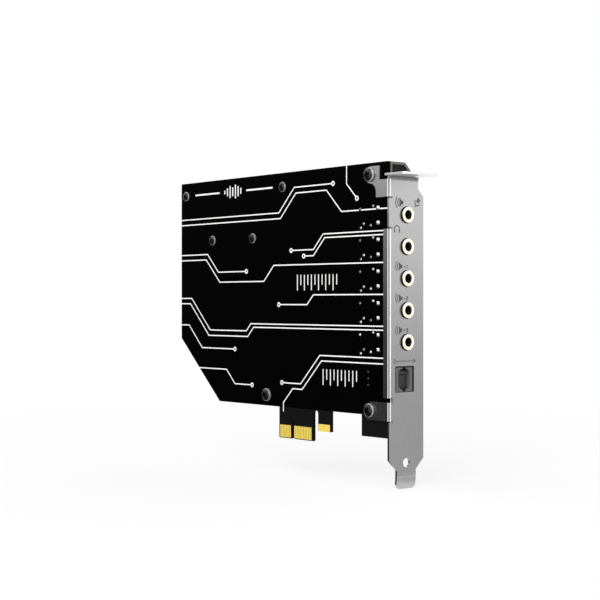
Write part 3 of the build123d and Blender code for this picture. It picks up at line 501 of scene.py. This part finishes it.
def softened(node, name, finish, width_mm):
    """A merged copy of a solid whose hard edges are rounded by width_mm."""
    mesh = frame["nodes"][node].data.copy()
    form = bmesh.new()
    form.from_mesh(mesh)
    bmesh.ops.remove_doubles(form, verts=form.verts, dist=0.001 * MM)
    bmesh.ops.dissolve_limit(form, angle_limit=math.radians(0.5), verts=form.verts, edges=form.edges)
    form.to_mesh(mesh)
    form.free()
    mesh.materials.clear()
    mesh.materials.append(finish)
    mesh.set_sharp_from_angle(angle=HARD_EDGE)
    piece = bpy.data.objects.new(name, mesh)
    bpy.context.scene.collection.objects.link(piece)
    bevel = piece.modifiers.new("soft_edges", "BEVEL")
    bevel.width = width_mm * MM
    bevel.segments = 2
    bevel.limit_method = "ANGLE"
    bevel.angle_limit = HARD_EDGE
    bevel.harden_normals = True
    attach(piece, "card")
    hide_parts(node)
    print(name, len(mesh.polygons), "faces before its bevel")


softened("bracket", "bracket_sheet", nickel, 0.12)
softened("cover", "cover_shell", cover_black, 0.25)
softened("optical_port_housing", "optical_port_moulding", port_grey, 0.12)

# %% [markdown]
# Turned parts are profiles carried round an axis. The grid has one row for each point of the profile
# and one column for each step round. The whole grid is then turned, so that its axis points out of
# the face that the part stands on.

# %% Helpers for surfaces worked out with numpy


def lathe(profile, turns):
    """Point (i, j) = (radius_i cos a_j, radius_i sin a_j, along_i), with a_j = 2 pi j / turns."""
    angles = np.linspace(0, 2 * np.pi, turns, endpoint=False)
    radius, along = np.array(profile, float).T
    across = np.outer(radius, np.cos(angles))
    up = np.outer(radius, np.sin(angles))
    return np.stack([across, up, np.repeat(along[:, None], turns, 1)], axis=-1)


def wrapped_faces(rows, columns, first):
    """Quads of a grid whose last column joins its first, for points numbered from first on."""
    i, j = np.meshgrid(np.arange(rows - 1), np.arange(columns), indexing="ij")
    following = (j + 1) % columns
    near, far = i * columns, (i + 1) * columns
    corners = [near + j, near + following, far + following, far + j]
    return first + np.stack(corners, axis=-1).reshape(-1, 4)


def facing_minus_y(grid, x, y, z):
    """Turns a lathe grid so that its axis points along -Y from (x, y, z)."""
    return np.stack([x + grid[..., 0], y - grid[..., 2], z + grid[..., 1]], axis=-1)


def facing_plus_x(grid, x, y, z):
    """Turns a lathe grid so that its axis points along +X from (x, y, z)."""
    return np.stack([x + grid[..., 2], y + grid[..., 0], z + grid[..., 1]], axis=-1)


print("a grid of 3 rows and 8 columns has", len(wrapped_faces(3, 8, 0)), "faces")

# %% [markdown]
# Several grids often make one piece, such as the joints of all the pins. Rows that shrink to a point
# on the axis are merged, which closes the surface, and then all faces are turned to look outwards.

# %% One piece from several grids


def make_piece(
    name, grids, finish, slot, replaced=(), smooth_deg=35, inside=None, inside_rows=0, row_rims=None
):
    """One object from several closed grids, in millimetres, with doubles merged and faces outwards.

    The first inside_rows rows of each grid's faces take the finish named by inside. Where row_rims
    gives a number for each row of a grid, the points keep it as the attribute rim."""
    points, faces, inner, first = [], [], [], 0
    for grid in grids:
        rows, columns = grid.shape[:2]
        points.append(grid.reshape(-1, 3))
        faces.append(wrapped_faces(rows, columns, first))
        inner.append(np.arange((rows - 1) * columns) < inside_rows * columns)
        first += rows * columns
    mesh = bpy.data.meshes.new(name)
    mesh.from_pydata(np.concatenate(points) * MM, [], np.concatenate(faces).tolist())
    mesh.materials.append(finish)
    if inside:
        mesh.materials.append(inside)
        mesh.polygons.foreach_set("material_index", np.concatenate(inner).astype(np.int32))
    if row_rims is not None:
        rim = mesh.attributes.new("rim", "FLOAT", "POINT")
        shares = [np.repeat(row_rims, grid.shape[1]) for grid in grids]
        rim.data.foreach_set("value", np.concatenate(shares).astype(np.float32))
    form = bmesh.new()
    form.from_mesh(mesh)
    bmesh.ops.remove_doubles(form, verts=form.verts, dist=1e-4 * MM)
    bmesh.ops.recalc_face_normals(form, faces=form.faces)
    form.to_mesh(mesh)
    form.free()
    mesh.shade_smooth()
    mesh.set_sharp_from_angle(angle=math.radians(smooth_deg))
    piece = bpy.data.objects.new(name, mesh)
    bpy.context.scene.collection.objects.link(piece)
    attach(piece, "card")
    if replaced:
        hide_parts(*replaced)
    print(name, len(mesh.polygons), "faces")


print("a maker of pieces:", make_piece.__name__)

# %% [markdown]
# Each jack has a turned sleeve whose gold ring stands a millimetre out of the bracket. Its rim is a
# quarter round, and its mouth has a small lead-in that guides the plug. The bore looks black because
# its wall is not plated, so the first rows of its faces take the black of the housing.

# %% The gold rings of the jacks


def quarter(centre_r, centre_along, radius, start_deg, stop_deg):
    """Six points of an arc: (centre_r + radius cos a, centre_along + radius sin a)."""
    angles = np.radians(np.linspace(start_deg, stop_deg, 6))
    return list(zip(centre_r + radius * np.cos(angles), centre_along + radius * np.sin(angles)))


ring_r = (rings[0][1][2] - rings[0][0][2]) / 2
ring_length = rings[0][1][0] - rings[0][0][0]
ring_bore_r, lead_in, rim_round = 1.775, 0.3, 0.28
ring_profile = [
    (ring_bore_r, -ring_length),
    (ring_bore_r, -lead_in),
    *quarter(ring_bore_r + lead_in, -lead_in, lead_in, 180, 90),
    *quarter(ring_r - rim_round, -rim_round, rim_round, 90, 0),
    (ring_r, -ring_length),
    (ring_bore_r, -ring_length),
]
for number, ((_, ring_high), jack_z) in enumerate(zip(rings, jack_zs), start=1):
    grids = [facing_plus_x(lathe(ring_profile, 72), ring_high[0], jack_y, jack_z)]
    name, replaced = f"jack_{number}_ring", [f"jack_{number}_sleeve"]
    make_piece(name, grids, ring_metal, "sleeve_gold", replaced, inside=jack_black, inside_rows=4)

# %% [markdown]
# A pan-head screw is a low dome with a cross pressed into it. The dome is a lathe profile, and the
# cross is a second function that pushes the points of the top inwards where they lie in its arms. The
# outermost rows of the dome are marked as its rim, where the finish paints a highlight.

# %% A pan head with a cross recess

DOME_ROWS, UNDER_ROWS, SCREW_TURNS = 34, 5, 112


def smooth_step(value, low, high):
    """0 below low, 1 above high, and 3t^2 - 2t^3 between them."""
    t = np.clip((value - low) / (high - low), 0, 1)
    return t * t * (3 - 2 * t)


def rim_rows():
    """1 on the outermost rows of a head's dome, 0 elsewhere."""
    rows = np.arange(DOME_ROWS + UNDER_ROWS)
    return smooth_step(rows, DOME_ROWS - 4.0, DOME_ROWS - 1.0) * (rows <= DOME_ROWS)


def pan_head_screw(x, y_seat, z, head_r, head_h, shank_r, reach, turn_deg):
    """Dome height = head_h (1 - 0.55 (r / head_r)^2), less the cross of two arms turned by turn_deg."""
    radii = np.linspace(0, 0.97 * head_r, DOME_ROWS)
    dome = [(r, head_h * (1 - 0.55 * (r / head_r) ** 2)) for r in radii]
    under = [(head_r, 0.3 * head_h), (head_r, 0), (shank_r, 0), (shank_r, -reach), (0, -reach)]
    grid = lathe(dome + under, SCREW_TURNS)
    turn = math.radians(turn_deg)
    u = grid[..., 0] * math.cos(turn) + grid[..., 1] * math.sin(turn)
    v = grid[..., 1] * math.cos(turn) - grid[..., 0] * math.sin(turn)
    arm, half_width, depth, soft = 0.56 * head_r, 0.15 * head_r, 0.6 * head_h, 0.08
    one = smooth_step(half_width - abs(u), 0, soft) * smooth_step(arm - abs(v), 0, 3 * soft)
    other = smooth_step(half_width - abs(v), 0, soft) * smooth_step(arm - abs(u), 0, 3 * soft)
    on_top = np.arange(len(grid))[:, None] < len(dome)
    grid[..., 2] -= depth * np.maximum(one, other) * on_top
    return facing_minus_y(grid, x, y_seat, z)


print(int(rim_rows().astype(bool).sum()), "of", DOME_ROWS + UNDER_ROWS, "rows carry the rim")

# %% [markdown]
# Seven screws show: four small ones and a larger one that hold the cover, and two in the bracket's
# tabs. Their heads fill the boxes of the solids they replace, so most places are a box's edge less
# the radius of a head. Each cross has a turn of its own, as driven screws have.

# %% The screws of the cover and the bracket


def head_places(node, head_r):
    """Middles of the heads at the lowest and highest X, then at the lowest and highest Z, of a box."""
    low, high = box_mm(node)
    return low[0] + head_r, high[0] - head_r, low[2] + head_r, high[2] - head_r


def screw_set(name, node, seat_y, places, head_r, shank_r, turns_deg):
    """One piece from the screws of a node, with their head height and reach measured from its box."""
    low, high = box_mm(node)
    head_h, reach = seat_y - low[1], high[1] - seat_y
    screws = [
        pan_head_screw(x, seat_y, z, head_r, head_h, shank_r, reach, turn)
        for (x, z), turn in zip(places, turns_deg)
    ]
    make_piece(name, screws, screw_nickel, "screw_steel", [node], row_rims=rim_rows())


small_head_r, small_shank_r, shank_r, lower_span = 2.1, 1.25, 1.5, 14.3
left, right, bottom, top = head_places("cover_screws", small_head_r)
middle = (left + right) / 2
small_places = [(left, top), (right, top), (middle - lower_span, bottom), (middle + lower_span, bottom)]
screw_set(
    "cover_pan_screws", "cover_screws", board_y, small_places, small_head_r, small_shank_r, (20, 65, 40, 10)
)

big_low, big_high = box_mm("lower_cover_screw")
head_r = (big_high[0] - big_low[0]) / 2
big_places = [((big_low[0] + big_high[0]) / 2, (big_low[2] + big_high[2]) / 2)]
screw_set("lower_pan_screw", "lower_cover_screw", board_y, big_places, head_r, shank_r, (30,))

tab_x, _, low_tab_z, high_tab_z = head_places("bracket_screws", head_r)
tab_places = [(tab_x, high_tab_z), (tab_x, low_tab_z)]
screw_set("tab_pan_screws", "bracket_screws", lip_y, tab_places, head_r, shank_r, (15, 50))

# %% [markdown]
# Solder wets both the pad and the pin, so a joint is a hollow-sided cone with the pin's tip standing
# out of it. Its height falls off as the square of the way from the pin, which gives that hollow side.

# %% Solder cones on the pins

CONE_TURNS = 24


def solder_cone(x, z, half_x, half_z, power=2):
    """Height = joint_h ((1 - t) / (1 - tip))^2 at the share t of the way out, and flat inside the tip.

    Its outline is |x / half_x|^power + |z / half_z|^power = 1: an ellipse at 2, nearly square at 5."""
    tip, joint_h, sunk = 0.3, 0.5, 0.02
    shares = np.concatenate([[0, tip], np.linspace(tip, 1, 8)[1:], [1, 0]])
    heights = joint_h * (1 - np.clip((shares - tip) / (1 - tip), 0, 1)) ** 2
    heights[1] = heights[0] = joint_h
    heights[-2:] = -sunk
    grid = lathe(np.column_stack([shares, heights]), CONE_TURNS)
    angles = np.linspace(0, 2 * np.pi, CONE_TURNS, endpoint=False)
    outward = (abs(np.cos(angles)) ** power + abs(np.sin(angles)) ** power) ** (-1 / power)
    grid[..., 0] *= half_x * outward
    grid[..., 1] *= half_z * outward
    return facing_minus_y(grid, x, board_y, z)


housing_x = box_mm("jack_1_housing")[1][0]
wide_pins = [(6.0, 2.7), (6.0, -3.0)]
round_pins = [(16.1, 2.7), (8.7, 3.6), (15.6, -4.6), (13.9, -3.1), (10.0, -3.9)]
wide_half, round_half, square_power, lead_pitch = (0.875, 0.72), (0.5, 0.5), 5, 2.54
lead_low, lead_high = box_mm("optical_port_leads")
lead_x, lead_z = (lead_low[0] + lead_high[0]) / 2, (lead_low[2] + lead_high[2]) / 2
wide_cones = [
    solder_cone(housing_x - back, z + up, *wide_half, square_power)
    for z in jack_zs
    for back, up in wide_pins
]
round_cones = [
    solder_cone(housing_x - back, z + up, *round_half) for z in jack_zs for back, up in round_pins
]
round_cones += [solder_cone(lead_x, lead_z + i * lead_pitch, *round_half) for i in (-1, 0, 1)]
make_piece("wide_solder_cones", wide_cones, tin, "solder", ["solder_joints"], smooth_deg=60)
make_piece("round_solder_cones", round_cones, dull_tin, "solder", ["solder_joints"], smooth_deg=60)

# %% [markdown]
# The solids draw the round pads of the print with ten sides to stay light. A ring with a rectangle as
# its profile lies over each one and makes it truly round.

# %% Round pads over the print

pad_outer_r, pad_inner_r, pad_h, pad_sunk, pad_lift = 1.01, 0.47, 0.06, 0.01, 0.012
pad_places = [
    (104, 6.5), (48, 40.5), (118, 13.2), (40, 74), (52, 89), (72, 87.1), (78, 32.4), (86, 34.9), (70, 54.7)
]
pad_profile = [
    (pad_inner_r, -pad_sunk), (pad_inner_r, pad_h), (pad_outer_r, pad_h), (pad_outer_r, -pad_sunk),
    (pad_inner_r, -pad_sunk),
]
pads = [
    facing_minus_y(lathe(pad_profile, 48) + [0, 0, pad_lift], far_x + along, board_y, top_z - down)
    for along, down in pad_places
]
make_piece("print_pads", pads, ink, "white_print")

# %% [markdown]
# Small signs beside the jacks say what each is for. They are printed in grey on the metal, so each is
# a thin ribbon carried along a path: a strip with a width and a thickness of a few hundredths.

# %% Ribbons along a path

SIGN_WEIGHT, SIGN_H, SIGN_SUNK = 1.3, 0.015, 0.02


def ribbon(path, width):
    """Section corners (side, up) carried along the path: point + side * normal, closed into a loop."""
    path = np.array(path, float)
    tangent = np.gradient(path, axis=0)
    tangent /= np.linalg.norm(tangent, axis=1)[:, None]
    normal = np.stack([-tangent[:, 1], tangent[:, 0]], axis=1)
    half = 0.5 * SIGN_WEIGHT
    section = [(-half, -SIGN_SUNK), (-half, SIGN_H), (half, SIGN_H), (half, -SIGN_SUNK)]
    rows = [(path + side * width * normal, up) for side, up in section]
    loops = [np.column_stack([np.full(len(path), face_x + up), places]) for places, up in rows]
    grid = np.stack(loops, axis=1)
    middle = grid.mean(axis=1, keepdims=True)
    start, stop = np.repeat(middle[:1], 4, 1), np.repeat(middle[-1:], 4, 1)
    return np.concatenate([start, grid, stop])


def arc_path(y, z, radius, start_deg, stop_deg, steps=14):
    """Points (y + radius cos a, z + radius sin a)."""
    angles = np.radians(np.linspace(start_deg, stop_deg, steps))
    return np.column_stack([y + radius * np.cos(angles), z + radius * np.sin(angles)])


print("a straight ribbon has", ribbon([(0, 0), (1, 0)], 0.3).shape[0], "rows of 4 points")

# %% [markdown]
# Each sign is a short list of ribbons: a loudspeaker, a microphone, headphones, plain figures that
# number the three jacks that are alike, and an arrow at the optical port. A ribbon can be a stroke, an
# arc or a solid bar.

# %% Small signs from ribbons


def speaker_sign(y, z, size):
    """Two arcs that open towards a horn, whose width grows along a short ribbon of steps."""
    arcs = [ribbon(arc_path(y, z, r * size, 138, 222), 0.3 * size) for r in (2.35, 1.55)]
    horn = [
        ribbon([(y + a * size, z - h * size), (y + a * size, z + h * size)], 0.26 * size)
        for a, h in ((-0.75, 1.3), (-0.5, 1.05), (-0.25, 0.8), (0.0, 0.6), (0.25, 0.5), (0.5, 0.5))
    ]
    return arcs + horn


def microphone_sign(y, z, size):
    """A tilted capsule, the cradle under it, and its stem."""
    tilt = math.radians(35)
    lean = size * np.array([math.sin(tilt), math.cos(tilt)])
    foot = np.array([y, z]) - 1.2 * lean
    return [
        ribbon([foot + 0.9 * lean, foot + 2.3 * lean], 0.95 * size),
        ribbon(arc_path(foot[0] + lean[0], foot[1] + lean[1], 1.05 * size, 145, 325), 0.3 * size),
        ribbon([foot, foot - 0.8 * lean], 0.3 * size),
    ]


def headphone_sign(y, z):
    """A half circle with a pad at each end."""
    pads = [ribbon([(y + side * 1.25, z - 1.3), (y + side * 1.25, z + 0.1)], 0.55) for side in (-1, 1)]
    return [ribbon(arc_path(y, z, 1.35, 0, 180, 20), 0.38), *pads]


def number_sign(y, z, number):
    """A dash and a figure of straight strokes, 1.4 mm high."""
    figures = {
        1: [(0.35, 0.7), (0.35, -0.7)],
        2: [(0, 0.7), (0.7, 0.7), (0.7, 0), (0, 0), (0, -0.7), (0.7, -0.7)],
        3: [(0, 0.7), (0.7, 0.7), (0.7, 0), (0.15, 0), (0.7, 0), (0.7, -0.7), (0, -0.7)],
    }
    places = [(y + a, z + b) for a, b in figures[number]]
    strokes = [ribbon([first, last], 0.32) for first, last in zip(places, places[1:])]
    return [ribbon([(y - 1.4, z), (y - 0.5, z)], 0.32), *strokes]


def outward_arrow_sign(z):
    """A long stroke with two barbs at one end and a small circle at the other."""
    barbs = [ribbon([(1.7, z + side * 0.9), (3.0, z)], 0.3) for side in (-1, 1)]
    return [ribbon([(-7.1, z), (2.6, z)], 0.3), *barbs, ribbon(arc_path(-7.9, z, 0.7, 0, 360, 20), 0.3)]


signs = speaker_sign(-4.4, jack_zs[0] + 4.6, 1.35) + microphone_sign(4.2, jack_zs[0] + 5.3, 1.3)
signs += headphone_sign(-6.9, jack_zs[1] + 6.5)
for number, z in enumerate(jack_zs[2:], start=1):
    signs += speaker_sign(-4.8, z + 4.6, 1.2) + number_sign(-1.9, z + 4.6, number)
signs += outward_arrow_sign(port_z + 6.9)
make_piece("jack_signs", signs, sign_ink, "bracket_steel")

# %% [markdown]
# The world is white for camera, glossy and transmission rays and dimmer for the light it casts, so
# metal shows the same white surroundings as the picture without washing out the colours. The floor
# fades into that white far from the card. Close to it, part of the floor stays an ordinary surface, so
# that it takes a faint shadow.

# %% Studio: world and floor

SEEING_RAYS = ("Camera", "Glossy", "Transmission")


def white_world(ambient):
    """A world of strength 1 for rays that see it, and of strength ambient for the light it casts."""
    world = bpy.data.worlds.new("studio")
    world.use_nodes = True
    bpy.context.scene.world = world
    nodes, links = world.node_tree.nodes, world.node_tree.links
    dim, white = nodes["Background"], nodes.new("ShaderNodeBackground")
    dim.inputs["Color"].default_value = white.inputs["Color"].default_value = (1, 1, 1, 1)
    dim.inputs["Strength"].default_value = ambient
    rays = nodes.new("ShaderNodeLightPath")
    seen = rays.outputs[f"Is {SEEING_RAYS[0]} Ray"]
    for kind in SEEING_RAYS[1:]:
        either = nodes.new("ShaderNodeMath")
        either.operation = "MAXIMUM"
        links.new(seen, either.inputs[0])
        links.new(rays.outputs[f"Is {kind} Ray"], either.inputs[1])
        seen = either.outputs[0]
    blend = nodes.new("ShaderNodeMixShader")
    for socket, source in zip(blend.inputs, (seen, dim.outputs[0], white.outputs[0])):
        links.new(source, socket)
    links.new(blend.outputs[0], nodes["World Output"].inputs["Surface"])


def studio_floor(height, half_size):
    """A square of four corners, white to the rays that see it and shaded only near the card."""
    corners = np.array([(-1, -1), (1, -1), (1, 1), (-1, 1)]) * half_size
    points = [(x, y, height) for x, y in corners]
    mesh = bpy.data.meshes.new("studio_floor")
    mesh.from_pydata(points, [], [(0, 1, 2, 3)])
    finish = Finish("floor_white", specular=0.0)
    cloud = finish.noise(60.0)
    finish.wear(finish.mix(cloud, (0.86, 0.86, 0.86), (0.88, 0.88, 0.88)), 0.9)
    sockets = {0: finish.place(), 1: (-0.05, 0, height)}
    away = finish.add("ShaderNodeVectorMath", {"operation": "DISTANCE"}, sockets, output="Value")
    sockets = {"Value": away, "From Min": 0.05, "From Max": 0.45, "To Min": 0.78, "To Max": 1.0}
    fade = finish.add("ShaderNodeMapRange", {}, sockets)
    rays = [finish.add("ShaderNodeLightPath", output=f"Is {kind} Ray") for kind in SEEING_RAYS]
    seen = rays[0].math("MAXIMUM", rays[0], rays[1].math("MAXIMUM", rays[1], rays[2]))
    white = finish.add("ShaderNodeEmission", {}, {"Color": (1, 1, 1, 1), "Strength": 1.0})
    shader = Value(finish, finish.shader.outputs[0])
    blend = finish.add("ShaderNodeMixShader", {}, {0: seen * fade, 1: shader, 2: white})
    finish.put(finish.tree.nodes["Material Output"].inputs["Surface"], blend)
    mesh.materials.append(finish.material)
    floor = bpy.data.objects.new("studio_floor", mesh)
    bpy.context.scene.collection.objects.link(floor)


under_foot = 0.0001
white_world(0.45)
studio_floor(bracket_end_z * MM - under_foot, 6.0)
print("floor at", round(bracket_end_z, 2), "mm")

# %% [markdown]
# Bare metal has hardly a colour of its own: it shows what it mirrors. A product photographer stands
# grey cards round it to give its faces their tones, and so does this studio: two upright cards, and
# two that lie on the floor, from the foot of an upright one towards the bracket. The camera, shadows
# and plain surfaces don't see them, only metal and gloss do.

# %% Studio: cards for the metal to mirror


def mirror_card(name, corners_mm, fade, greys):
    """A flat card, which only metal and gloss see, from one grey to another over the heights of fade."""
    mesh = bpy.data.meshes.new(name)
    mesh.from_pydata(np.array(corners_mm) * MM, [], [(0, 1, 2, 3)])
    finish = Finish(name, specular=0.0)
    sockets = {"Value": finish.along("Z"), "From Min": fade[0], "From Max": fade[1]}
    level = finish.add("ShaderNodeMapRange", {"interpolation_type": "SMOOTHSTEP"}, sockets)
    grey = finish.mix(level, (greys[0],) * 3, (greys[1],) * 3)
    finish.put(finish.shader.inputs["Base Color"], (0, 0, 0, 1))
    finish.put(finish.shader.inputs["Emission Color"], grey)
    finish.put(finish.shader.inputs["Emission Strength"], 1.0)
    mesh.materials.append(finish.material)
    card = bpy.data.objects.new(name, mesh)
    bpy.context.scene.collection.objects.link(card)
    card.visible_camera = card.visible_diffuse = card.visible_shadow = False


def upright(start, stop, low, high):
    """Corners of an upright card that stands on the line from start to stop."""
    return [(*start, low), (*stop, low), (*stop, high), (*start, high)]


def lying(start, stop, near, height):
    """Corners of a card that lies between the line from start to stop and near times that line."""
    near_start, near_stop = np.array(start) * near, np.array(stop) * near
    return [(*start, height), (*stop, height), (*near_stop, height), (*near_start, height)]


card_z = bracket_end_z + 0.05
left_line = [(-700, -80), (-140, -680)]
right_line = [(290, 20), (40, 290)]
mirror_card("left_card", upright(*left_line, card_z, 90), (-60, 80), (0.15, 0.62))
mirror_card("left_floor_card", lying(*left_line, 0.03, card_z), (0, 1), (0.15, 0.15))
mirror_card("right_card", upright(*right_line, card_z, 60), (-105, 10), (0.52, 1.0))
mirror_card("right_floor_card", lying(*right_line, 0.02, card_z), (0, 1), (0.54, 0.54))
print("four cards stand on", round(card_z, 2), "mm")

# %% [markdown]
# Large lamps give soft shadows. The key lamp lights the printed side and the bracket's face, and the
# other three fill the shadows, so that the card looks right from the sides and the back as well.

# %% Studio: lamps


def soft_lamp(name, place_mm, size_mm, watts):
    """A square area lamp that looks at the middle of the card."""
    lamp = bpy.data.lights.new(name, "AREA")
    lamp.size = size_mm * MM
    lamp.energy = watts
    holder = bpy.data.objects.new(name, lamp)
    holder.location = Vector(place_mm) * MM
    card_middle = Vector((-0.06, 0, -0.05))
    holder.rotation_euler = (card_middle - holder.location).to_track_quat("-Z", "Y").to_euler()
    bpy.context.scene.collection.objects.link(holder)


soft_lamp("key", (250, -550, 350), 450, 3.0)
soft_lamp("side", (600, 150, 150), 450, 1.6)
soft_lamp("fill", (-450, -250, 520), 500, 1.6)
soft_lamp("rear", (-200, 600, 350), 500, 1.5)
print("four lamps lit")

# %% [markdown]
# The camera stands level at the picture's viewing angle. Its place and lens come from fitting the
# bracket's standard sizes to the picture, and its shift puts the horizon where the picture has it.

# %% Camera

turn = math.radians(49.786)
horizon_px, image_px = 2.2, 600
lens = bpy.data.cameras.new("photo_camera")
lens.sensor_width = 36.0
lens.lens = 81.377
lens.shift_y = horizon_px / image_px
camera = bpy.data.objects.new("photo_camera", lens)
camera.location = Vector((364.86, -368.47, -47.77)) * MM
looking = Vector((-math.sin(turn), math.cos(turn), 0))
camera.rotation_euler = looking.to_track_quat("-Z", "Y").to_euler()
bpy.context.scene.collection.objects.link(camera)
bpy.context.scene.camera = camera
bpy.context.scene.view_settings.view_transform = "Standard"
print("camera at", tuple(round(v / MM, 1) for v in camera.location), "mm")
